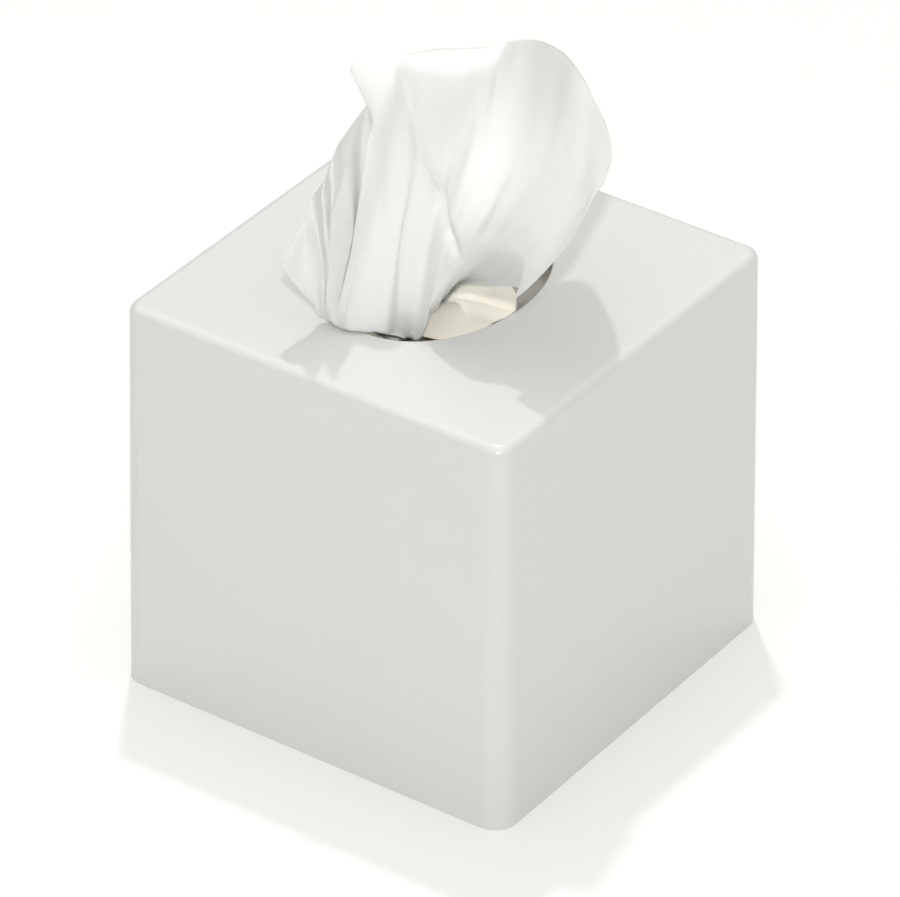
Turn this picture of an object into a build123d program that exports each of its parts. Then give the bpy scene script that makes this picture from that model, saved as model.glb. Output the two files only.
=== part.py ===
from build123d import *
import os

# Cube tissue box: a moulded plastic cover that drops over a card carton of pop-up tissues.
# Millimetres, +Z up. The origin is on the table, under the middle of the cover.
# -Y is the front and the long axis of the opening runs along Y.

os.makedirs("parts", exist_ok=True)

# moulded cover
cover_top_side = 131.7       # outer width of the square top
cover_draft = 0.9            # each side leans out by this many degrees, so it leaves the mould
cover_height = 128.6
cover_wall = 3.0
cover_corner_radius = 5.4    # upright edges, at the top
cover_top_radius = 3.2       # rounding where the top meets the sides
cover_inner_radius = 1.5
opening_half_width = 26.8    # oval opening, along X
opening_half_length = 37.2   # and along Y
opening_edge_radius = 0.8

# card carton inside it
card = 0.5
carton_side = 111.0
carton_height = 122.0
carton_opening_half_width = 31.0
carton_opening_half_length = 42.0
floor_flap_gap = 0.6         # seam between the two outer floor flaps
inner_flap_depth = 38.0
glue_tab_width = 14.0
film = 0.1                   # polythene film glued under the carton's opening
film_margin = 8.0
slit_half_length = 37.0
slit_half_width = 9.0

# pile of folded tissues, bent over into an arch
pile_width = 105.0
pile_length = 107.0
pile_height = 112.0
pile_shoulder = 40.0         # radius of the bend at each side
pile_crease_width = 2.0      # where the two legs of the arch meet
pile_crease_height = 62.0
clearance = 0.3              # between soft pieces that lie beside each other

# sheet that has been pulled up: its stem in the slit, then its outline at each height above the cover
stem_in_slit = (0.0, -20.0, 3.6, 9.0)      # centre x, y and half sizes
stem_at_rim = (8.0, -21.0, 8.0, 7.5)
plume_outlines = [
    (0.6, [(-13, -40), (0, -38), (9, -32), (17, -25), (22, -14), (14, -8), (2, -18), (-8, -32)]),
    (25, [(-19, -55), (-4, -38), (30, -35), (45, -37), (44, -26), (24, -8), (4, -16), (-10, -34)]),
    (50, [(-12, -50), (-5, -30), (25, -10), (62, -30), (58, -12), (30, 4), (2, -8), (-9, -24)]),
    (66, [(-9, -38), (-5, -22), (10, -3), (50, 2), (43, 12), (26, 22), (6, 10), (-14, -20)]),
    (76, [(-16, -25), (-6, -12), (4, -2), (12, 6), (17, 14), (14, 17), (2, 5), (-14, -14)]),
]

# next sheet, which the slit holds ready
next_stem = (1.5, 1.0, 4.0, 9.0)
next_tuft = (13.5, -1.0, 10.0, 11.0)
next_tuft_low = -6.4         # below the cover's top face
next_tuft_high = -1.6
next_tuft_radius = 2.0

carton_roof = carton_height - card
pile_floor = 2 * card
pile_top = pile_floor + pile_height


def tapered_block(side, height, corner):
    # Square block with rounded upright edges, this wide at its top and wider at its foot.
    top = Plane.XY.offset(height) * RectangleRounded(side, side, corner)
    return extrude(top, amount=height, dir=(0, 0, -1), taper=-cover_draft)


def oval_prism(half_x, half_y, low, high):
    return extrude(Plane.XY.offset(low) * Ellipse(half_x, half_y), amount=high - low)


def column(low_oval, low, high_oval, high):
    # Soft stem that changes from one oval to another as it rises.
    wires = []
    for (x, y, half_x, half_y), z in ((low_oval, low), (high_oval, high)):
        wires.append(Plane((x, y, z)) * Ellipse(half_x, half_y))
    return loft(wires)


def make_cover():
    # One moulding: five walls, open at the foot, with an oval opening in the top.
    outer = tapered_block(cover_top_side, cover_height, cover_corner_radius)
    outer = fillet(outer.faces().sort_by(Axis.Z)[-1].edges(), cover_top_radius)
    room = cover_height - cover_wall
    inner_side = cover_top_side - 2 * cover_wall
    inner = tapered_block(inner_side, room, cover_corner_radius - cover_wall)
    inner = fillet(inner.faces().sort_by(Axis.Z)[-1].edges(), cover_inner_radius)
    shell = outer - inner
    shell -= oval_prism(opening_half_width, opening_half_length, room - 1, cover_height + 1)
    rims = [edge for edge in shell.edges() if edge.is_closed]
    return fillet(rims, opening_edge_radius)


def floor_flaps():
    # Two full flaps outside, with a seam between them, and two short ones inside, all glued.
    half = (carton_side - floor_flap_gap) / 2
    flaps = Part()
    for side in (-1, 1):
        outer_x = side * (half + floor_flap_gap) / 2
        flaps += Pos(outer_x, 0, card / 2) * Box(half, carton_side, card)
        inner_y = side * (carton_side - inner_flap_depth) / 2
        flaps += Pos(0, inner_y, 1.5 * card) * Box(carton_side, inner_flap_depth, card)
    return flaps


def make_carton():
    # One folded and glued blank of card with an oval opening in its roof.
    tube = extrude(Rectangle(carton_side, carton_side), amount=carton_height)
    bore = carton_side - 2 * card
    tube -= extrude(Rectangle(bore, bore), amount=carton_roof)
    tube -= oval_prism(carton_opening_half_width, carton_opening_half_length, carton_roof - 1, carton_height + 1)
    tab_height = carton_roof - 2 * pile_floor
    tab_x = (bore - glue_tab_width) / 2
    tab = Pos(tab_x, (bore - card) / 2, pile_floor + tab_height / 2) * Box(glue_tab_width, card, tab_height)
    return tube + tab + floor_flaps()


def make_slit_film():
    # Film glued under the roof, with a slit that the tissue has pushed open to a lens shape.
    sheet = oval_prism(carton_opening_half_width + film_margin, carton_opening_half_length + film_margin,
                       carton_roof - film, carton_roof)
    ends = [(0, -slit_half_length), (0, slit_half_length)]
    sides = [ThreePointArc(ends[0], (side * slit_half_width, 0), ends[1]) for side in (-1, 1)]
    slit = Plane.XY.offset(carton_roof - 1) * make_face(sides)
    return sheet - extrude(slit, amount=2)


def make_tissue_pile():
    # The folded sheets lie on each other and are bent into an arch, so the top is rounded off.
    profile = Pos(0, pile_height / 2) * Rectangle(pile_width, pile_height)
    profile = fillet(profile.vertices().group_by(Axis.Y)[-1], pile_shoulder)
    crease = Pos(0, pile_crease_height / 2) * Rectangle(pile_crease_width, pile_crease_height)
    upright = Plane.XZ.offset(-pile_length / 2) * (profile - crease)
    return Pos(0, 0, pile_floor) * extrude(upright, amount=pile_length)


def make_pulled_tissue():
    # Stem from the pile through the slit, then the plume of thin sheet above the cover.
    slit_level = carton_roof - film
    straight = column(stem_in_slit, pile_top + clearance, stem_in_slit, slit_level + 1)
    flare = column(stem_in_slit, slit_level, stem_at_rim, cover_height + 3)
    outlines = []
    for height, corners in plume_outlines:
        outlines.append(Plane.XY.offset(cover_height + height) * make_face(Polyline(*corners, close=True)))
    return straight + flare + loft(outlines, ruled=True)


def make_next_tissue():
    # A short tuft that stands in the slit and leans over to one side of it.
    tuft_x, tuft_y, half_x, half_y = next_tuft
    low = cover_height + next_tuft_low
    high = cover_height + next_tuft_high
    tuft = Pos(tuft_x, tuft_y, 0) * oval_prism(half_x, half_y, low, high)
    tuft = fillet(tuft.edges(), next_tuft_radius)
    return column(next_stem, pile_top + clearance, next_stem, high - next_tuft_radius) + tuft


nodes = {
    "cover": make_cover(),
    "carton": make_carton(),
    "slit_film": make_slit_film(),
    "tissue_pile": make_tissue_pile(),
    "pulled_tissue": make_pulled_tissue(),
    "next_tissue": make_next_tissue(),
}
for node, shape in nodes.items():
    export_step(shape, f"parts/{node}.step")
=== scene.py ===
import math

import bpy
import numpy as np
from mathutils import Matrix, Vector, noise


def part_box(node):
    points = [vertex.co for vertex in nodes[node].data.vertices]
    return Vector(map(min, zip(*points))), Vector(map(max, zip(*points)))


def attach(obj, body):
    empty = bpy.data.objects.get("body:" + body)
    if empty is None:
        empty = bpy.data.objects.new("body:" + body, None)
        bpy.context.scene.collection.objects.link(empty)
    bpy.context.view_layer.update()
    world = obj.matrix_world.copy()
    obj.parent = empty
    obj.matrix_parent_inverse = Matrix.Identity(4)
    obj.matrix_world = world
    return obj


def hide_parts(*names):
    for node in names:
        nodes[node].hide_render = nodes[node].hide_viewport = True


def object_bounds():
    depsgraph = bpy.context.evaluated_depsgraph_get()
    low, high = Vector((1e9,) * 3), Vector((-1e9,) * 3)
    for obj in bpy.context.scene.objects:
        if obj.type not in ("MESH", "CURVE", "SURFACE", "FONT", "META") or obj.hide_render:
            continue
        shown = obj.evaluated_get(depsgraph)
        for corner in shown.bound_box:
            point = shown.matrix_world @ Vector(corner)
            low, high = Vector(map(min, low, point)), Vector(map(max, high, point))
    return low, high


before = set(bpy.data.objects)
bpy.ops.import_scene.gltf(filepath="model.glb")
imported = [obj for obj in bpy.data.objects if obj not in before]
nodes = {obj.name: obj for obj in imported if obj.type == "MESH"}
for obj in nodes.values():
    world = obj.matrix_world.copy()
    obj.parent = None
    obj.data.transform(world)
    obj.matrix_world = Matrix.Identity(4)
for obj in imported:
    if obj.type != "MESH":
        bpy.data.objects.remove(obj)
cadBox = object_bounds()
print("frame loaded")


def linear(hexCode):  # sRGB hex to the linear colour that shaders take
    parts = [int(hexCode[i:i + 2], 16) / 255 for i in (1, 3, 5)]
    return tuple(p / 12.92 if p <= 0.04045 else ((p + 0.055) / 1.055) ** 2.4 for p in parts) + (1.0,)


def addNode(tree, kind, settings=None, values=None):  # a value that is a socket becomes a link
    node = tree.nodes.new(kind)
    for name, value in (settings or {}).items():
        setattr(node, name, value)
    for name, value in (values or {}).items():
        if isinstance(value, bpy.types.NodeSocket):
            tree.links.new(value, node.inputs[name])
        else:
            node.inputs[name].default_value = value
    return node


def newMaterial(name):
    material = bpy.data.materials.new(name)
    material.use_nodes = True
    material.node_tree.nodes.clear()
    return material, material.node_tree


def finishMaterial(material, tree, surface):
    addNode(tree, "ShaderNodeOutputMaterial", None, {"Surface": surface})
    return material


def maths(tree, operation, first, second=0.0):
    return addNode(tree, "ShaderNodeMath", {"operation": operation}, {0: first, 1: second}).outputs[0]


def mixColours(tree, factor, first, second):  # a colour is a hex code or another node's output
    colours = [linear(colour) if isinstance(colour, str) else colour for colour in (first, second)]
    values = {"Factor": factor, 6: colours[0], 7: colours[1]}  # 6 and 7 are the node's colour inputs
    return addNode(tree, "ShaderNodeMix", {"data_type": "RGBA"}, values).outputs[2]


view = {
    "aim": (0.0, 0.0026, 0.0681),   # metres, close to the axis and a third of the way up
    "azimuth": 35.03,               # degrees from the front face towards the right face
    "elevation": 33.58,
    "roll": 0.29,
    "distance": 2.147,              # metres
    "lens": 296.3,                  # mm, a long lens, as in catalogue work
    "sensor": 36.0,
    "seesTo": 60.0,                 # metres
}


def fromAim(azimuth, elevation):  # unit vector from the object towards a lamp or the camera
    a, e = math.radians(azimuth), math.radians(elevation)
    return Vector((math.cos(e) * math.sin(a), -math.cos(e) * math.cos(a), math.sin(e)))


def turned(degrees, axis):
    return Matrix.Rotation(math.radians(degrees), 4, axis)


def facing(azimuth, elevation, roll=0.0):  # rotation that looks back along fromAim
    return turned(azimuth, "Z") @ turned(90 - elevation, "X") @ turned(roll, "Z")


def makeCamera():
    camera = bpy.data.objects.new("camera", bpy.data.cameras.new("camera"))
    bpy.context.scene.collection.objects.link(camera)
    camera.data.lens = view["lens"]
    camera.data.sensor_width = view["sensor"]
    camera.data.clip_end = view["seesTo"]
    place = Vector(view["aim"]) + view["distance"] * fromAim(view["azimuth"], view["elevation"])
    turn = facing(view["azimuth"], view["elevation"], view["roll"])
    camera.matrix_world = Matrix.Translation(place) @ turn
    bpy.context.scene.camera = camera


lamps = [
    {"name": "overheadLamp", "azimuth": 219.0, "elevation": 73.2,
     "distance": 1.7, "size": 0.07, "watts": 6.2},
    {"name": "frontLamp", "azimuth": 35.0, "elevation": 38.0,
     "distance": 2.5, "size": 0.10, "watts": 21.5},
]
room = {
    "litHeight": 0.63,                          # lamps point at this share of the object's height
    "skyColour": "#fffefc",
    "horizon": 0.08, "zenith": 1.41,            # how bright the ceiling is, low down and overhead
    "fade": 2.0,                                # how fast it falls off towards the horizon
    "floorSize": 24.0,                          # metres
    "floorColours": ("#f5f5f4", "#f7f7f6"),
    "blotchScale": 3.0,                         # per metre
}


def makeLights():
    target = Vector((0.0, 0.0, cadBox[1][2] * room["litHeight"]))
    for lamp in lamps:
        light = bpy.data.lights.new(lamp["name"], "AREA")
        light.shape = "DISK"
        light.size = lamp["size"]
        light.energy = lamp["watts"]
        holder = bpy.data.objects.new(lamp["name"], light)
        bpy.context.scene.collection.objects.link(holder)
        place = target + lamp["distance"] * fromAim(lamp["azimuth"], lamp["elevation"])
        holder.matrix_world = Matrix.Translation(place) @ facing(lamp["azimuth"], lamp["elevation"])
    world = bpy.data.worlds.new("studio")
    bpy.context.scene.world = world
    world.use_nodes = True
    tree = world.node_tree  # a wide white ceiling that fades towards the horizon
    upward = addNode(tree, "ShaderNodeSeparateXYZ", None, {
        "Vector": addNode(tree, "ShaderNodeTexCoord").outputs["Generated"]})
    faded = addNode(tree, "ShaderNodeMath", {"operation": "POWER", "use_clamp": True}, {
        0: upward.outputs["Z"], 1: room["fade"]})
    glow = addNode(tree, "ShaderNodeMapRange", None, {
        "Value": faded.outputs[0], "To Min": room["horizon"], "To Max": room["zenith"]})
    background = tree.nodes["Background"]
    background.inputs["Color"].default_value = linear(room["skyColour"])
    tree.links.new(glow.outputs[0], background.inputs["Strength"])


def studioPaper():  # seamless matt background paper: plain, with the faintest unevenness
    material, tree = newMaterial("studioPaper")
    place = addNode(tree, "ShaderNodeTexCoord")
    blotch = addNode(tree, "ShaderNodeTexNoise", None, {
        "Vector": place.outputs["Object"], "Scale": room["blotchScale"]})
    shader = addNode(tree, "ShaderNodeBsdfPrincipled", None, {
        "Base Color": mixColours(tree, blotch.outputs["Fac"], *room["floorColours"]),
        "Roughness": 0.9, "Specular IOR Level": 0.2})
    return finishMaterial(material, tree, shader.outputs[0])


def makeFloor():
    half = room["floorSize"] / 2
    corners = [(-half, -half, 0), (half, -half, 0), (half, half, 0), (-half, half, 0)]
    mesh = bpy.data.meshes.new("floor")
    mesh.from_pydata(corners, [], [(0, 1, 2, 3)])
    mesh.materials.append(studioPaper())
    floor = bpy.data.objects.new("floor", mesh)
    bpy.context.scene.collection.objects.link(floor)


bpy.context.scene.view_settings.view_transform = "Standard"
makeCamera()
makeLights()
makeFloor()
print("camera, lamps and floor")


absLook = {
    "base": "#dfe1de", "shade": "#dbdcd9",    # off-white with a trace of green-grey
    "cloudScale": 22.0,                       # patches of the two tones, per metre
    "roughness": (0.17, 0.25), "ior": 1.53,
    "smearScale": 60.0, "smear": (0.3, 0.7),  # where it is more or less polished, per metre
    "peelMm": 1.6, "peelDepthMm": 0.004,      # slow waviness a polished mould leaves in the gloss
    "dustCellMm": 26.0, "dustMm": 0.35,       # one place for a speck in each cell, and its radius
    "dustCore": 0.4,                          # share of that radius that is fully dark
    "dustFree": 0.62,                         # share of the cells that have none
    "dust": "#8f8c84",
}


def mouldedAbs():  # injection-moulded ABS from a polished tool: even colour, crisp gloss, a little dust
    material, tree = newMaterial("mouldedAbs")
    place = addNode(tree, "ShaderNodeTexCoord").outputs["Object"]
    cloud = addNode(tree, "ShaderNodeTexNoise", None, {
        "Vector": place, "Scale": absLook["cloudScale"], "Detail": 3.0})
    tone = mixColours(tree, cloud.outputs["Fac"], absLook["base"], absLook["shade"])
    cell = addNode(tree, "ShaderNodeTexVoronoi", None, {
        "Vector": place, "Scale": 1000 / absLook["dustCellMm"]})
    reach = absLook["dustMm"] / absLook["dustCellMm"]
    speck = addNode(tree, "ShaderNodeMapRange", None, {
        "Value": cell.outputs["Distance"], "From Min": reach, "From Max": reach * absLook["dustCore"]})
    chance = addNode(tree, "ShaderNodeSeparateColor", None, {"Color": cell.outputs["Color"]})
    dusty = maths(tree, "GREATER_THAN", chance.outputs["Red"], absLook["dustFree"])
    dirt = maths(tree, "MULTIPLY", speck.outputs[0], dusty)
    smear = addNode(tree, "ShaderNodeTexNoise", None, {
        "Vector": place, "Scale": absLook["smearScale"], "Detail": 5.0})
    rough = addNode(tree, "ShaderNodeMapRange", None, {
        "Value": smear.outputs["Fac"], "From Min": absLook["smear"][0], "From Max": absLook["smear"][1],
        "To Min": absLook["roughness"][0], "To Max": absLook["roughness"][1]})
    peel = addNode(tree, "ShaderNodeTexNoise", None, {
        "Vector": place, "Scale": 1000 / absLook["peelMm"] / 2, "Detail": 1.0})
    bump = addNode(tree, "ShaderNodeBump", None, {
        "Height": peel.outputs["Fac"], "Strength": 1.0, "Distance": absLook["peelDepthMm"] / 1000})
    shader = addNode(tree, "ShaderNodeBsdfPrincipled", None, {
        "Base Color": mixColours(tree, dirt, tone, absLook["dust"]), "Roughness": rough.outputs[0],
        "Normal": bump.outputs[0], "IOR": absLook["ior"]})
    return finishMaterial(material, tree, shader.outputs[0])


cardLook = {
    "face": "#e4e0d4", "fibre": "#cfc8b6",
    "fibreMm": 1.4, "fibreDepthMm": 0.04,
    "flockScale": 55.0,                       # where the fibres lie thicker, per metre
    "roughness": 0.78, "ior": 1.47,
}


def foldingBoxboard():  # grey-white folding boxboard, calendered: short fibres lying every way, no gloss
    material, tree = newMaterial("foldingBoxboard")
    place = addNode(tree, "ShaderNodeTexCoord").outputs["Object"]
    fibres = addNode(tree, "ShaderNodeTexNoise", None, {
        "Vector": place, "Scale": 1000 / cardLook["fibreMm"] / 2, "Detail": 6.0, "Roughness": 0.7})
    flock = addNode(tree, "ShaderNodeTexNoise", None, {
        "Vector": place, "Scale": cardLook["flockScale"], "Detail": 2.0})
    shown = maths(tree, "MULTIPLY", fibres.outputs["Fac"], flock.outputs["Fac"])
    bump = addNode(tree, "ShaderNodeBump", None, {
        "Height": fibres.outputs["Fac"], "Strength": 0.6, "Distance": cardLook["fibreDepthMm"] / 1000})
    shader = addNode(tree, "ShaderNodeBsdfPrincipled", None, {
        "Base Color": mixColours(tree, shown, cardLook["face"], cardLook["fibre"]),
        "Roughness": cardLook["roughness"], "Normal": bump.outputs[0], "IOR": cardLook["ior"]})
    return finishMaterial(material, tree, shader.outputs[0])


filmLook = {
    "colour": "#aaa598", "cover": 0.3,        # the rest of the light goes straight through
    "roughness": (0.3, 0.42), "ior": 1.51,
    "rippleScale": 90.0, "rippleDepthMm": 0.4,
}


def polytheneFilm():  # blown low-density polythene: clear, a little haze, slack ripples near the glue
    material, tree = newMaterial("polytheneFilm")
    place = addNode(tree, "ShaderNodeTexCoord").outputs["Object"]
    ripples = addNode(tree, "ShaderNodeTexNoise", None, {
        "Vector": place, "Scale": filmLook["rippleScale"], "Detail": 2.0, "Distortion": 0.6})
    bump = addNode(tree, "ShaderNodeBump", None, {
        "Height": ripples.outputs["Fac"], "Strength": 0.5, "Distance": filmLook["rippleDepthMm"] / 1000})
    haze = addNode(tree, "ShaderNodeMapRange", None, {
        "Value": ripples.outputs["Fac"],
        "To Min": filmLook["roughness"][0], "To Max": filmLook["roughness"][1]})
    shader = addNode(tree, "ShaderNodeBsdfPrincipled", None, {
        "Base Color": linear(filmLook["colour"]), "Roughness": haze.outputs[0],
        "Normal": bump.outputs[0], "IOR": filmLook["ior"], "Alpha": filmLook["cover"]})
    return finishMaterial(material, tree, shader.outputs[0])


tissueLook = {
    # the waiting sheet's tones are painted warm light: a cream tint that stands for the warm light inside
    # the opening
    "white": ("#fffffe", "#fdfdfc"), "warmLitTones": ("#fffcf1", "#fdf8ea"),
    "crepeMm": 0.9, "crepeDepthMm": 0.02,      # drawn coarser than real crepe, which is too fine to show
    "cloudMm": 5.0, "cloudDepthMm": 0.1,       # formation clouds: fibres lie thicker in some places
    "paintedSingleShade": "#f4f4f2",                       # greyer tone where it hangs single: painted shade that darkens the single-layer canopy
    "throughLight": (0.27, 0.61),              # share let through where gathered, and where single
    "waitingThroughLight": (0.12, 0.12),
    "singleFrom": (0.128, 0.168),              # metres across the cut, from gathered to single
    "ior": 1.45,
}


def creasedTissue(name, tones, throughLight):  # two-ply bleached tissue, dry-creped: matt, fine cross lines
    material, tree = newMaterial(name)
    cut = addNode(tree, "ShaderNodeUVMap", {"uv_map": "cut"}).outputs["UV"]  # metres on the flat sheet
    crepe = addNode(tree, "ShaderNodeTexWave", {"bands_direction": "Y"}, {
        "Vector": cut, "Scale": 1000 / tissueLook["crepeMm"] / 20, "Distortion": 6.0,
        "Detail": 3.0, "Detail Scale": 2.0, "Detail Roughness": 0.7})
    cloud = addNode(tree, "ShaderNodeTexNoise", None, {
        "Vector": cut, "Scale": 1000 / tissueLook["cloudMm"], "Detail": 5.0, "Roughness": 0.65})
    tone = mixColours(tree, cloud.outputs["Fac"], *tones)
    bump = addNode(tree, "ShaderNodeBump", None, {
        "Height": crepe.outputs["Fac"], "Strength": 0.5, "Distance": tissueLook["crepeDepthMm"] / 1000})
    soft = addNode(tree, "ShaderNodeBump", None, {
        "Height": cloud.outputs["Fac"], "Strength": 0.4, "Distance": tissueLook["cloudDepthMm"] / 1000,
        "Normal": bump.outputs[0]})
    across = addNode(tree, "ShaderNodeSeparateXYZ", None, {"Vector": cut})
    thin = addNode(tree, "ShaderNodeMapRange", {"interpolation_type": "SMOOTHSTEP"}, {
        "Value": across.outputs["X"],
        "From Min": tissueLook["singleFrom"][0], "From Max": tissueLook["singleFrom"][1],
        "To Min": throughLight[0], "To Max": throughLight[1]})
    # painted shade: the colour turns greyer where the sheet hangs single, which darkens the canopy beyond
    # the light it lets through
    paintedShadeShare = addNode(tree, "ShaderNodeMapRange", None, {
        "Value": thin.outputs[0],
        "From Min": tissueLook["throughLight"][0], "From Max": tissueLook["throughLight"][1]})
    shade = mixColours(tree, paintedShadeShare.outputs[0], tone, tissueLook["paintedSingleShade"])
    paper = addNode(tree, "ShaderNodeBsdfPrincipled", None, {
        "Base Color": shade, "Roughness": 0.95, "Normal": soft.outputs[0], "IOR": tissueLook["ior"],
        "Sheen Weight": 0.12, "Sheen Roughness": 0.6})
    glow = addNode(tree, "ShaderNodeBsdfTranslucent", None, {"Color": shade, "Normal": soft.outputs[0]})
    both = addNode(tree, "ShaderNodeMixShader", None, {
        0: thin.outputs[0], 1: paper.outputs[0], 2: glow.outputs[0]})
    return finishMaterial(material, tree, both.outputs[0])


def dress(node, material):
    target = nodes[node]
    if not target.data.materials:
        target.data.materials.append(material)
    for index in range(len(target.material_slots)):
        target.material_slots[index].material = material


dress("cover", mouldedAbs())
dress("carton", foldingBoxboard())
dress("slit_film", polytheneFilm())
print("finishes on the cover, carton and film")

pileLook = {
    "tones": ("#f3f2ee", "#e9e7e0"),
    "fuzzScale": 420.0, "fuzzDepthMm": 0.2,    # the scale is per metre
}


def stackedTissue():  # the cut and folded edges of two-ply tissue, seen end on: soft, fuzzy, no gloss
    material, tree = newMaterial("stackedTissue")
    place = addNode(tree, "ShaderNodeTexCoord").outputs["Object"]
    fuzz = addNode(tree, "ShaderNodeTexNoise", None, {
        "Vector": place, "Scale": pileLook["fuzzScale"], "Detail": 4.0})
    bump = addNode(tree, "ShaderNodeBump", None, {
        "Height": fuzz.outputs["Fac"], "Strength": 0.7, "Distance": pileLook["fuzzDepthMm"] / 1000})
    shader = addNode(tree, "ShaderNodeBsdfPrincipled", None, {
        "Base Color": mixColours(tree, fuzz.outputs["Fac"], *pileLook["tones"]), "Roughness": 0.95,
        "Normal": bump.outputs[0], "IOR": tissueLook["ior"], "Sheen Weight": 0.2})
    return finishMaterial(material, tree, shader.outputs[0])


pileSize = {
    "layers": 22,          # each stands for about four sheets, so that the layers can be told apart
    "ply": 2.25,           # mm from one layer to the next
    "fill": 0.84,          # share of that which is paper
    "shoulder": 39.6,      # mm, outer bend of the arch
    "inset": 0.4,          # mm inside the CAD solid
    "raggedMm": 1.6,       # how unevenly the layers end
    "puff": 0.5, "puffScale": 5.0,   # share of the spacing that a layer wanders, and waves per metre
    "leastBend": 0.6, "leastHalf": 0.8,    # mm, so that the innermost layers still fold
    "slabPoints": (73, 10, 2),       # mesh points of one layer, along its run, length and thickness
    "seed": 7,
}


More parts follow.
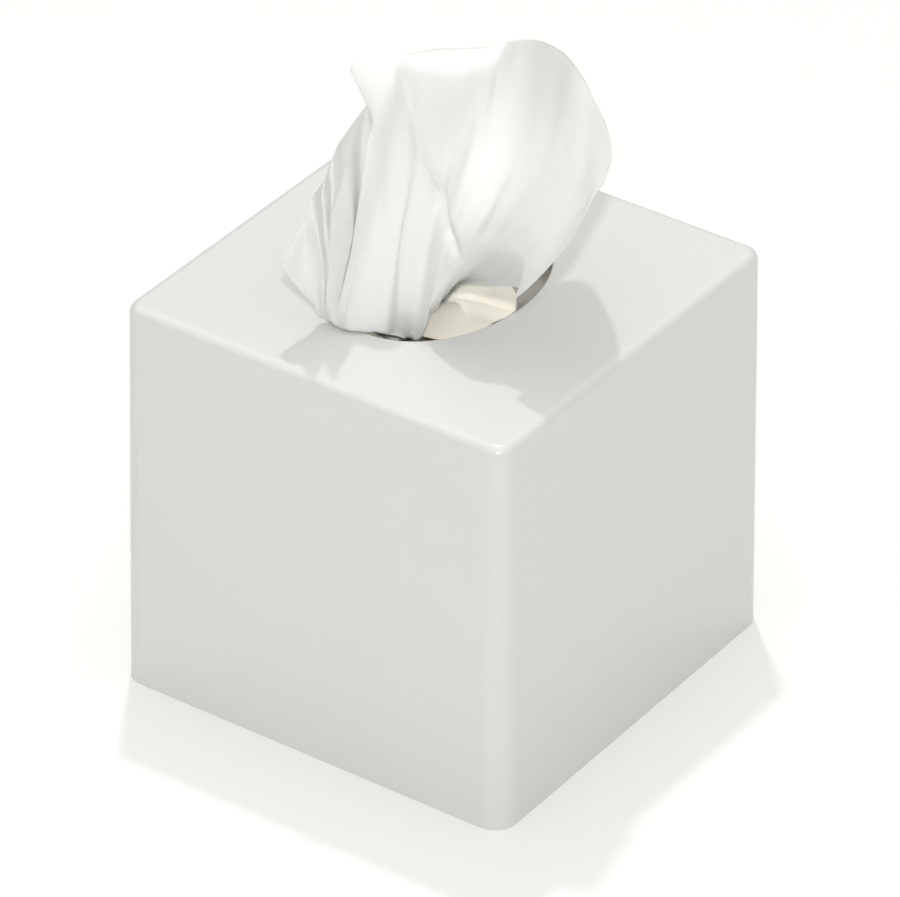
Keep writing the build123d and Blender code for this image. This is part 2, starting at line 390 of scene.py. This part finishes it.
def makePile():
    low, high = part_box("tissue_pile")
    tree = bpy.data.node_groups.new("foldedPile", "GeometryNodeTree")
    sizes = {
        "Half Width": ("NodeSocketFloat", (high.x - low.x) / 2 - pileSize["inset"] / 1000),
        "Top": ("NodeSocketFloat", high.z - pileSize["inset"] / 1000),
        "Foot": ("NodeSocketFloat", low.z + pileSize["inset"] / 1000),
        "Length": ("NodeSocketFloat", (high.y - low.y) - 2 * pileSize["inset"] / 1000),
        "Shoulder": ("NodeSocketFloat", pileSize["shoulder"] / 1000),
        "Ply": ("NodeSocketFloat", pileSize["ply"] / 1000),
        "Fill": ("NodeSocketFloat", pileSize["fill"]),
        "Ragged": ("NodeSocketFloat", pileSize["raggedMm"] / 1000),
        "Layers": ("NodeSocketInt", pileSize["layers"]),
        "Seed": ("NodeSocketInt", pileSize["seed"]),
        "Paper": ("NodeSocketMaterial", stackedTissue()),
    }
    for name, (kind, _) in sizes.items():
        tree.interface.new_socket(name=name, in_out="INPUT", socket_type=kind)
    tree.interface.new_socket(name="Geometry", in_out="OUTPUT", socket_type="NodeSocketGeometry")
    given = addNode(tree, "NodeGroupInput").outputs

    def sums(operation, first, second=0.0):
        return maths(tree, operation, first, second)

    startLoop = tree.nodes.new("GeometryNodeRepeatInput")
    endLoop = tree.nodes.new("GeometryNodeRepeatOutput")
    startLoop.pair_with_output(endLoop)
    tree.links.new(given["Layers"], startLoop.inputs["Iterations"])
    layer = startLoop.outputs["Iteration"]
    across, along, deep = pileSize["slabPoints"]
    slab = addNode(tree, "GeometryNodeMeshCube", None, {
        "Size": (1.0, 1.0, 1.0), "Vertices X": across, "Vertices Y": along, "Vertices Z": deep})
    position = addNode(tree, "GeometryNodeInputPosition").outputs[0]
    here = addNode(tree, "ShaderNodeSeparateXYZ", None, {"Vector": position})
    # depth of this point below the pile's outside
    middle = sums("MULTIPLY", sums("ADD", layer, 0.5), given["Ply"])
    thick = sums("MULTIPLY", here.outputs["Z"], sums("MULTIPLY", given["Ply"], given["Fill"]))
    wavy = addNode(tree, "ShaderNodeTexNoise", {"noise_dimensions": "4D"}, {
        "Vector": position, "W": layer, "Scale": pileSize["puffScale"], "Detail": 1.0})
    wander = sums("MULTIPLY", given["Ply"], pileSize["puff"])
    puff = sums("MULTIPLY", sums("SUBTRACT", wavy.outputs[0], 0.5), wander)
    depth = sums("MAXIMUM", sums("ADD", sums("SUBTRACT", middle, thick), puff), 0.0)
    # the arch at that depth: a flat crown, two quarter bends and two straight legs
    bend = sums("MAXIMUM", sums("SUBTRACT", given["Shoulder"], depth), pileSize["leastBend"] / 1000)
    half = sums("MAXIMUM", sums("SUBTRACT", given["Half Width"], depth), pileSize["leastHalf"] / 1000)
    bend = sums("MINIMUM", bend, half)
    crown = sums("SUBTRACT", given["Top"], depth)
    shoulder = sums("SUBTRACT", crown, bend)
    flat = sums("SUBTRACT", half, bend)
    quarter = sums("MULTIPLY", bend, math.pi / 2)
    shortBy = addNode(tree, "FunctionNodeRandomValue", {"data_type": "FLOAT"}, {
        "ID": layer, "Seed": given["Seed"]})
    hem = sums("ADD", given["Foot"], sums("MULTIPLY", shortBy.outputs[1], given["Ragged"]))
    wholeRun = sums("ADD", sums("ADD", flat, quarter), sums("SUBTRACT", shoulder, hem))
    # how far along the arch this point lies, and so where it goes
    reach = sums("MULTIPLY", sums("MULTIPLY", sums("ABSOLUTE", here.outputs["X"]), 2.0), wholeRun)
    pastFlat = sums("MAXIMUM", sums("SUBTRACT", reach, flat), 0.0)
    turn = sums("MINIMUM", sums("DIVIDE", pastFlat, bend), math.pi / 2)
    down = sums("MAXIMUM", sums("SUBTRACT", pastFlat, quarter), 0.0)
    across = sums("ADD", sums("MINIMUM", reach, flat), sums("MULTIPLY", bend, sums("SINE", turn)))
    side = sums("SIGN", here.outputs["X"])
    height = sums("ADD", shoulder, sums("MULTIPLY", bend, sums("COSINE", turn)))
    narrow = addNode(tree, "FunctionNodeRandomValue", {"data_type": "FLOAT"}, {
        "ID": layer, "Seed": sums("ADD", given["Seed"], 5.0)})
    length = sums("SUBTRACT", given["Length"], sums("MULTIPLY", narrow.outputs[1], given["Ragged"]))
    spot = addNode(tree, "ShaderNodeCombineXYZ", None, {
        "X": sums("MULTIPLY", across, side),
        "Y": sums("MULTIPLY", here.outputs["Y"], length),
        "Z": sums("SUBTRACT", height, down)})
    bent = addNode(tree, "GeometryNodeSetPosition", None, {
        "Geometry": slab.outputs["Mesh"], "Position": spot.outputs[0]})
    join = addNode(tree, "GeometryNodeJoinGeometry")
    tree.links.new(startLoop.outputs["Geometry"], join.inputs[0])
    tree.links.new(bent.outputs[0], join.inputs[0])
    tree.links.new(join.outputs[0], endLoop.inputs["Geometry"])
    whole = addNode(tree, "GeometryNodeRealizeInstances", None, {"Geometry": endLoop.outputs["Geometry"]})
    smooth = addNode(tree, "GeometryNodeSetShadeSmooth", None, {"Geometry": whole.outputs[0]})
    dressed = addNode(tree, "GeometryNodeSetMaterial", None, {
        "Geometry": smooth.outputs[0], "Material": given["Paper"]})
    addNode(tree, "NodeGroupOutput", None, {"Geometry": dressed.outputs[0]})

    holder = bpy.data.objects.new("pileMaker", bpy.data.meshes.new("pileMaker"))
    bpy.context.scene.collection.objects.link(holder)
    maker = holder.modifiers.new("foldedPile", "NODES")
    maker.node_group = tree
    ids = {item.name: item.identifier for item in tree.interface.items_tree if item.in_out == "INPUT"}
    for name, (_, value) in sizes.items():
        maker[ids[name]] = value
    mesh = bpy.data.meshes.new_from_object(holder.evaluated_get(bpy.context.evaluated_depsgraph_get()))
    bpy.data.objects.remove(holder)
    pile = bpy.data.objects.new("foldedPile", mesh)
    bpy.context.scene.collection.objects.link(pile)
    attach(pile, "root")
    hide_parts("tissue_pile")
    print("pile:", len(mesh.polygons), "faces")


makePile()


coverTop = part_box("cover")[1].z * 1000       # mm, as are all lengths below except the cuts
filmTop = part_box("slit_film")[1].z * 1000
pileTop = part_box("tissue_pile")[1].z * 1000
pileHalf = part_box("tissue_pile")[1].x * 1000
sheets = {
    "pileBend": 40.0,                 # bend of the arch that the sheets lie on
    "columns": 300, "insideRows": 56, "outsideRows": 124, "tuftRows": 39, "lowerRows": 30,
    "aboveFilm": 0.2,
    "drift": 1.1, "driftScale": 5.0,  # how the gathers' spacing varies across the sheet
}


def through(points, knots, places):  # smooth curve through points given at knots, read at places
    points, knots, places = (np.asarray(x, float) for x in (points, knots, places))
    gap = np.diff(knots)
    wide = (-1,) + (1,) * (points.ndim - 1)
    slope = np.diff(points, axis=0) / gap.reshape(wide)
    tangent = np.empty_like(points)
    tangent[0], tangent[-1] = slope[0], slope[-1]
    before, after = gap[:-1].reshape(wide), gap[1:].reshape(wide)
    tangent[1:-1] = (slope[:-1] * after + slope[1:] * before) / (before + after)
    i = np.clip(np.searchsorted(knots, places, side="right") - 1, 0, len(gap) - 1)
    w = ((places - knots[i]) / gap[i]).reshape(wide)
    h = gap[i].reshape(wide)
    return ((2 * w**3 - 3 * w**2 + 1) * points[i] + (w**3 - 2 * w**2 + w) * h * tangent[i]
            + (3 * w**2 - 2 * w**3) * points[i + 1] + (w**3 - w**2) * h * tangent[i + 1])


def ease(x, low, high):  # smooth step from 0 at low to 1 at high
    t = np.clip((x - low) / (high - low), 0, 1)
    return t * t * (3 - 2 * t)


def overPile(a, y, lift):  # a mm along the arch from its crown, lift mm above its surface
    bend = sheets["pileBend"]
    flat = pileHalf - bend
    past = np.maximum(np.abs(a) - flat, 0)
    turn = np.minimum(past / bend, math.pi / 2)
    down = np.maximum(past - bend * math.pi / 2, 0)
    x = np.minimum(np.abs(a), flat) + (bend + lift) * np.sin(turn)
    z = pileTop - bend + (bend + lift) * np.cos(turn) - down
    return np.stack([x * np.sign(a), y, z], -1)


def ripple(s, pleats, seed):  # phase of the gathers, uneven from one to the next
    warp = np.array([noise.noise(Vector((v * sheets["driftScale"], seed, 0.3))) for v in s])
    return 2 * math.pi * (pleats * s + sheets["drift"] * warp)


def normals(grid):  # unit vectors square to the sheet
    du = np.gradient(grid, axis=1)
    dv = np.gradient(grid, axis=0)
    n = np.cross(du, dv)
    return n / np.maximum(np.linalg.norm(n, axis=-1, keepdims=True), 1e-9)


def sheetObject(name, grid, cutSize, material, thickness):  # grid[row, column] in mm
    rows, columns = grid.shape[:2]
    mesh = bpy.data.meshes.new(name)
    index = np.arange(rows * columns).reshape(rows, columns)
    faces = np.stack([index[:-1, :-1], index[:-1, 1:], index[1:, 1:], index[1:, :-1]], -1).reshape(-1, 4)
    mesh.from_pydata((grid.reshape(-1, 3) / 1000).tolist(), [], faces.tolist())
    layer = mesh.uv_layers.new(name="cut")
    u = np.broadcast_to(np.linspace(0, cutSize[0], columns), (rows, columns)).reshape(-1)
    v = np.broadcast_to(np.linspace(0, cutSize[1], rows)[:, None], (rows, columns)).reshape(-1)
    corner = faces.reshape(-1)
    layer.data.foreach_set("uv", np.stack([u[corner], v[corner]], -1).astype(np.float32).reshape(-1))
    mesh.polygons.foreach_set("use_smooth", [True] * len(mesh.polygons))
    mesh.materials.append(material)
    sheet = bpy.data.objects.new(name, mesh)
    bpy.context.scene.collection.objects.link(sheet)
    solid = sheet.modifiers.new("twoPly", "SOLIDIFY")
    solid.thickness = thickness / 1000
    solid.offset = 0.0
    finished = bpy.data.meshes.new_from_object(sheet.evaluated_get(bpy.context.evaluated_depsgraph_get()))
    sheet.modifiers.clear()
    sheet.data = finished
    return sheet


pulled = {
    "cut": (0.20, 0.21),          # metres, an ordinary facial tissue
    "thickness": 0.16,
    "pleats": 19, "pleatSeed": 3.0,
    "slitAt": (0.0, -20.0), "slitHalf": (2.6, 8.4),
    # where along the sheet: slit, throat, under the lip, lip, low, high, crest, hem
    "knots": (0.0, 0.07, 0.13, 0.20, 0.46, 0.73, 0.92, 1.0),
    # from the middle of the cover's top, left to right, and each from its throat to its hem
    "ribs": [
        ((-8, -34, 0), (-10, -36, 1), (-13, -39, 1),
         (-15, -44, 8), (-17, -50, 17), (-18, -53, 22), (-18, -55, 25)),
        ((-8, -34, 0), (-10, -36, 1), (-12, -39, 1),
         (-14, -44, 14), (-16, -48, 23), (-15, -53, 30), (-15, -54, 33)),
        ((-7, -34, 0), (-9, -37, 1), (-12, -40, 1),
         (-11, -46, 20), (-14, -48, 31), (-13, -50, 37), (-13, -51, 39)),
        ((-7, -34, 0), (-9, -37, 1), (-11, -40, 1),
         (-7, -50, 28), (-8, -52, 43), (-7, -54, 49), (-7, -55, 51)),
        ((-6, -34, 0), (-8, -37, 1), (-11, -40, 1),
         (-7, -47, 27), (-10, -45, 41), (-11, -44, 47), (-11, -43, 50)),
        ((-5, -34, 0), (-7, -37, 1), (-10, -40, 1),
         (-4, -50, 35), (-6, -46, 52), (-6, -46, 59), (-6, -46, 61)),
        ((-4, -34, 0), (-6, -38, 1), (-9, -41, 1),
         (-4, -44, 33), (-9, -36, 50), (-11, -34, 57), (-11, -33, 60)),
        ((-3, -34, 0), (-5, -38, 1), (-7, -41, 2),
         (-7, -34, 30), (-12, -25, 52), (-12, -23, 61), (-12, -22, 63)),
        ((-3, -34, 0), (-4, -38, 1), (-5, -41, 2),
         (-5, -33, 30), (-9, -24, 54), (-9, -23, 63), (-9, -22, 66)),
        ((-3, -35, 0), (-5, -38, 1), (-7, -41, 1),
         (-6, -37, 27), (-7, -29, 56), (-9, -26, 66), (-16, -24, 74)),
        ((-1, -34, 0), (-2, -37, 1), (-3, -40, 1),
         (-4, -32, 25), (-4, -27, 55), (-7, -24, 70), (-13, -20, 77)),
        ((1, -32, -1), (1, -35, 0), (0, -38, 1),
         (-1, -30, 24), (-3, -22, 54), (-5, -20, 73), (-10, -16, 78)),
        ((2, -29, -3), (3, -32, -1), (4, -35, 0),
         (3, -28, 24), (0, -18, 53), (-4, -15, 76), (-6, -13, 78)),
        ((3, -24, -6), (4, -28, -6), (5, -30, -4),
         (2, -25, 22), (2, -15, 52), (0, -13, 76), (-4, -7, 76)),
        ((4, -23, -6), (6, -27, -6), (7, -29.5, -4),
         (5, -22, 22), (5, -12, 52), (4, -10, 76), (-1, -3, 76)),
        ((5, -22, -6), (8, -26, -6), (9.5, -28.5, -4),
         (8, -20, 22), (8, -9, 52), (8, -7, 75), (3, 0, 76)),
        ((5, -21, -6), (9, -24, -4), (12, -27.5, -1),
         (13, -23, 25), (11, -8, 53), (11, -2, 74), (6, 5, 75)),
        ((5, -20, -6), (8, -20, -3), (13, -27, 5),
         (18, -26, 29), (16, -8, 55), (13, 4, 73), (9, 8, 75)),
        ((5, -19, -6), (8, -17, 0), (15, -25, 9),
         (22, -28, 34), (19, -6, 55), (13, 8, 73.5), (11.5, 11, 75.5)),
        ((5, -18, -6), (9, -15, 3), (17, -24, 13),
         (26, -29, 38), (23, -4, 55), (14, 13, 71), (12.5, 17, 74)),
        ((5, -17, -6), (10, -14, 5), (19, -23, 16),
         (30, -29, 41), (26, -1, 54), (15.5, 18.5, 68), (13.5, 24, 71)),
        ((5, -17, -6), (11, -13, 7), (22, -23, 19),
         (33, -27, 42), (29, 2, 53), (17.5, 23.5, 64), (15, 30, 67)),
        ((5, -16, -6), (12, -13, 8), (24, -23, 21),
         (37, -25, 42), (33, 3, 52), (20.5, 27, 60), (18.5, 33.5, 62.5)),
        ((5, -16, -6), (12, -13, 8), (26, -22, 22),
         (40, -24, 42), (37, 4, 51), (25, 27, 56), (24.5, 32.5, 58)),
        ((5, -15, -6), (13, -13, 8), (28, -22, 22),
         (44, -24, 42), (42, 2, 50), (33, 22, 54), (32, 27, 56)),
        ((5, -15, -6), (13, -14, 8), (31, -22, 22),
         (48, -27, 40), (49, -4, 50), (43, 12, 54), (43, 17, 56)),
        ((5, -15, -6), (13, -14, 8), (32, -22, 22),
         (50, -32, 35), (57, -16, 50), (53, -1, 54), (52, 6, 55)),
        ((5, -15, -6), (12, -14, 7), (33, -22, 20),
         (48, -34, 28), (62, -28, 49), (58, -11, 53), (57, -5, 54)),
    ],
    "gather": (2.4, 1.3, 0.7, 0.22, 0.16, 0.14, 0.10, 0.10),   # at the same knots
    "gatherShare": (0.4, 0.9), "gatherScale": 9,    # least depth of a gather, how much more, how often
    "gatherFrom": (0.0, 0.12),    # share of the way, where they come in
    "insideEdge": 52.0, "insideHalf": 104.0, "insideLift": 1.5, "insideGather": 3.4,
    "wrinkle": 0.24, "wrinkleScale": (11.0, 2.6), "wrinkleFrom": (0.18, 0.5),
    "hemFrom": 0.9, "hemSmoother": 0.3,
    # folds that cross the sheet: (rib, how far along), then how wide and deep; minus goes to the back
    "folds": [
        {"path": ((11.6, 0.91), (12.6, 0.75), (14.4, 0.63), (15.8, 0.56), (18.5, 0.43), (19.5, 0.34)),
         "width": 1.7, "depth": -2.8},
        {"path": ((20.4, 0.65), (20.3, 0.58), (20.9, 0.49), (21, 0.4)), "width": 1.6, "depth": -2.3},
        {"path": ((24.7, 0.28), (25.2, 0.5), (25.5, 0.66), (26, 0.83)), "width": 1.8, "depth": -0.7},
        {"path": ((23.3, 0.32), (24, 0.49), (24.5, 0.62), (25, 0.78)), "width": 2.4, "depth": -0.7},
        {"path": ((22.1, 0.41), (22.4, 0.53), (23.1, 0.61)), "width": 2.0, "depth": -0.5},
        {"path": ((13.6, 0.1), (13.9, 0.2), (14.1, 0.32)), "width": 3.0, "depth": -3.2},
        {"path": ((10.1, 0.79), (11.3, 0.59), (12.1, 0.41)), "width": 4.0, "depth": -0.8},
        {"path": ((6.1, 0.77), (5.1, 0.55), (2.4, 0.39)), "width": 2.2, "depth": -0.8},
    ],
    "foldSteps": (60, 4, 90),     # points along a path, every how many are used, and points on the sheet
    "foldEnds": (0.12, 0.6),      # how a fold dies out at its ends
    "foldSides": (0.6, 0.7),      # how it dies out to either side
}


inside = {
    "narrow": (0.4, 1.0), "gather": (0.1, 0.75), "rise": (0.82, 1.0), "close": (0.75, 1.0),
    "lead": 1.1,                  # above 1, it sets off slowly from the edge
    "clear": 3.0, "headroom": (0.5, 9.0),   # kept between the gathers and the film
}


def insidePart(spec, s, phase, slitRow, edgeY, lift):  # what still lies on the pile, up to the slit
    v = np.linspace(0, 1, sheets["insideRows"])[:, None]
    toSlit = ease(v, *inside["narrow"])
    a = (s[None] * 2 - 1) * spec["insideHalf"] * (1 - toSlit) + slitRow[None, :, 0] * toSlit
    y = edgeY + (slitRow[None, :, 1] - edgeY) * v ** inside["lead"]
    gather = spec["insideGather"] * ease(v, *inside["gather"]) * (0.5 + 0.5 * np.cos(phase))[None]
    headroom = np.clip((filmTop - pileTop) - inside["clear"], *inside["headroom"])
    grid = overPile(a, y, lift + np.minimum(gather, headroom))
    grid[..., 2] += ease(v, *inside["rise"]) * (slitRow[None, :, 2] - grid[..., 2])
    grid[..., 0] += ease(v, *inside["close"]) * (slitRow[None, :, 0] - grid[..., 0])
    return grid


def foldDepth(grid, ribCount):  # how far each point moves for the folds
    rows, columns = grid.shape[:2]
    pathPoints, every, foldPoints = pulled["foldSteps"]
    endAngle, endPower = pulled["foldEnds"]
    fade = np.sin(np.linspace(endAngle, math.pi - endAngle, foldPoints)) ** endPower
    near, far = pulled["foldSides"]
    depth = np.zeros((rows, columns))
    for fold in pulled["folds"]:
        last = len(fold["path"]) - 1
        path = through(fold["path"], np.arange(last + 1), np.linspace(0, last, pathPoints))
        column = np.clip(path[:, 0] / (ribCount - 1) * (columns - 1), 0, columns - 1)
        row = np.clip(path[:, 1] * (rows - 1), 0, rows - 1)
        spots = grid[np.round(row).astype(int), np.round(column).astype(int)][::every]
        spots = through(spots, np.arange(len(spots)), np.linspace(0, len(spots) - 1, foldPoints))
        away = np.linalg.norm(grid[:, :, None] - spots[None, None], axis=-1)
        nearest = away.argmin(-1)
        gone = np.take_along_axis(away, nearest[..., None], -1)[..., 0] / fold["width"]
        depth += fold["depth"] * fade[nearest] / (1 + gone ** 2 * near) * np.exp(-gone * far)
    return depth


def makePulled():
    columns = sheets["columns"]
    s = np.linspace(0, 1, columns)
    t = np.linspace(0, 1, sheets["outsideRows"])
    ribs = np.array(pulled["ribs"], float)
    phase = ripple(s, pulled["pleats"], pulled["pleatSeed"])
    slit = np.stack([
        pulled["slitAt"][0] + pulled["slitHalf"][0] * np.cos(phase),
        pulled["slitAt"][1] + pulled["slitHalf"][1] * (2 * s - 1),
        np.full(columns, filmTop + sheets["aboveFilm"] - coverTop)], -1)
    ribAt = s * (len(ribs) - 1)
    rows = [slit]
    for k in range(ribs.shape[1]):
        rows.append(through(ribs[:, k], np.arange(len(ribs)), ribAt))
    grid = through(np.array(rows), pulled["knots"], t)
    outward = normals(grid)
    strength = through(pulled["gather"], pulled["knots"], t)[:, None]
    least, more = pulled["gatherShare"]
    uneven = [abs(noise.noise(Vector((v * pulled["gatherScale"], 1.7, 4.0)))) for v in s]
    uneven = np.array([least + more * u for u in uneven])[None]
    move = strength * np.cos(phase)[None] * uneven * ease(t, *pulled["gatherFrom"])[:, None]
    wide, long = pulled["wrinkleScale"]
    wrinkles = np.array([
        [noise.fractal(Vector((a * wide, b * long, 5.0)), 1.0, 2.1, 4) for a in s] for b in t])
    calm = 1 - pulled["hemSmoother"] * ease(t, pulled["hemFrom"], 1.0)
    move = move + pulled["wrinkle"] * wrinkles * (ease(t, *pulled["wrinkleFrom"]) * calm)[:, None]
    move = move + foldDepth(grid, len(ribs))
    grid = grid + outward * move[..., None]
    grid[..., 2] += coverTop
    slitRow = slit + np.array([0, 0, coverTop])
    hidden = insidePart(pulled, s, phase, slitRow, pulled["insideEdge"], pulled["insideLift"])
    whole = np.concatenate([hidden[:-1], grid])
    material = creasedTissue("creasedTissue", tissueLook["white"], tissueLook["throughLight"])
    sheet = sheetObject("pulledSheet", whole, pulled["cut"], material, pulled["thickness"])
    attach(sheet, "root")
    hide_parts("pulled_tissue")
    print("pulled sheet:", len(sheet.data.polygons), "faces")


makePulled()


waiting = {
    "cut": (0.20, 0.21), "thickness": 0.16,
    "pleats": 17, "pleatSeed": 8.0,
    "slitAt": (1.5, 1.0), "slitHalf": (2.4, 8.0),
    "spreadFrom": (3.0, -1.0),     # the tuft fans out from here
    # degrees and reach, round the fan
    "spread": ((-74, 27), (-56, 29), (-40, 28), (-22, 23), (9, 20), (40, 17), (80, 11)),
    "fanBy": 0.45, "levelBy": 0.3,   # share of the way by which it has fanned out and lies level
    "base": -4.2,                  # against the cover's top
    "lumps": ((15, -15, 11.5, 7.4), (11, 4, 7.5, 3.6)),   # x, y, how wide, how high
    "valley": ((11, -6), (25, 6), 1.6, 3.0),   # from, to, width and depth of the fold between them
    "soft": 0.7, "softScale": (5.0, 1.6), "gather": 0.2, "gatherGone": (0.2, 0.6),
    "insideHalf": 100.0, "insideLift": 0.5, "insideGather": 2.2,
    "upperEdge": -51.0, "upperLift": 0.4,      # the fold at the front, where the sheet turns back
    "lowerEdge": 52.0, "lowerRun": 103.2, "lowerLift": -0.1, "lowerGather": 0.05,
}


def tuftHeight(x, y):  # mm above the cover's top
    z = np.full_like(x, waiting["base"])
    for cx, cy, wide, high in waiting["lumps"]:
        z = z + high * np.exp(-((x - cx) ** 2 + (y - cy) ** 2) / wide ** 2)
    (ax, ay), (bx, by), wide, deep = waiting["valley"]
    run = (bx - ax) ** 2 + (by - ay) ** 2
    along = np.clip(((x - ax) * (bx - ax) + (y - ay) * (by - ay)) / run, 0, 1)
    away = np.hypot(x - ax - along * (bx - ax), y - ay - along * (by - ay))
    return z - deep * np.exp(-away / wide)


def makeWaiting():
    columns = sheets["columns"]
    s = np.linspace(0, 1, columns)
    phase = ripple(s, waiting["pleats"], waiting["pleatSeed"])
    middle = waiting["slitAt"]
    slit = np.stack([
        middle[0] + waiting["slitHalf"][0] * np.cos(phase),
        middle[1] + waiting["slitHalf"][1] * (2 * s - 1),
        np.full(columns, filmTop + sheets["aboveFilm"])], -1)
    fan = np.array(waiting["spread"], float)
    fan = through(fan, np.linspace(0, 1, len(fan)), s)
    angle = np.radians(fan[:, 0])
    fromX, fromY = waiting["spreadFrom"]
    wide, long = waiting["softScale"]
    tuft = []
    for r in np.linspace(0, 1, sheets["tuftRows"] + 1)[1:]:
        out = ease(r, 0.0, waiting["fanBy"])
        x = slit[:, 0] * (1 - out) + (fromX + fan[:, 1] * r * np.cos(angle)) * out
        y = slit[:, 1] * (1 - out) + (fromY + fan[:, 1] * r * np.sin(angle)) * out
        soft = np.array([noise.noise(Vector((v * wide, r * long, 11.0))) for v in s])
        gather = waiting["gather"] * np.cos(phase) * (1 - ease(r, *waiting["gatherGone"]))
        z = coverTop + tuftHeight(x, y) + waiting["soft"] * soft + gather
        rise = ease(r, 0.0, waiting["levelBy"])
        tuft.append(np.stack([x, y, slit[:, 2] * (1 - rise) + z * rise], -1))
    lift = waiting["insideLift"]
    upper = insidePart(waiting, s, phase, slit, waiting["upperEdge"], lift + waiting["upperLift"])
    v = np.linspace(0, 1, sheets["lowerRows"])[:, None]
    a = np.broadcast_to((s[None] * 2 - 1) * waiting["insideHalf"], (len(v), columns))
    y = np.broadcast_to(waiting["lowerEdge"] - waiting["lowerRun"] * v, a.shape)
    gather = waiting["lowerGather"] * np.cos(phase)[None] * np.ones_like(v)
    lower = overPile(a, y, lift + waiting["lowerLift"] + gather)
    whole = np.concatenate([lower, upper, np.array(tuft)])
    # painted warm light: the waiting sheet is tinted cream
    material = creasedTissue("warmLitTissue", tissueLook["warmLitTones"], tissueLook["waitingThroughLight"])
    sheet = sheetObject("waitingSheet", whole, waiting["cut"], material, waiting["thickness"])
    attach(sheet, "root")
    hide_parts("next_tissue")
    print("waiting sheet:", len(sheet.data.polygons), "faces")


makeWaiting()
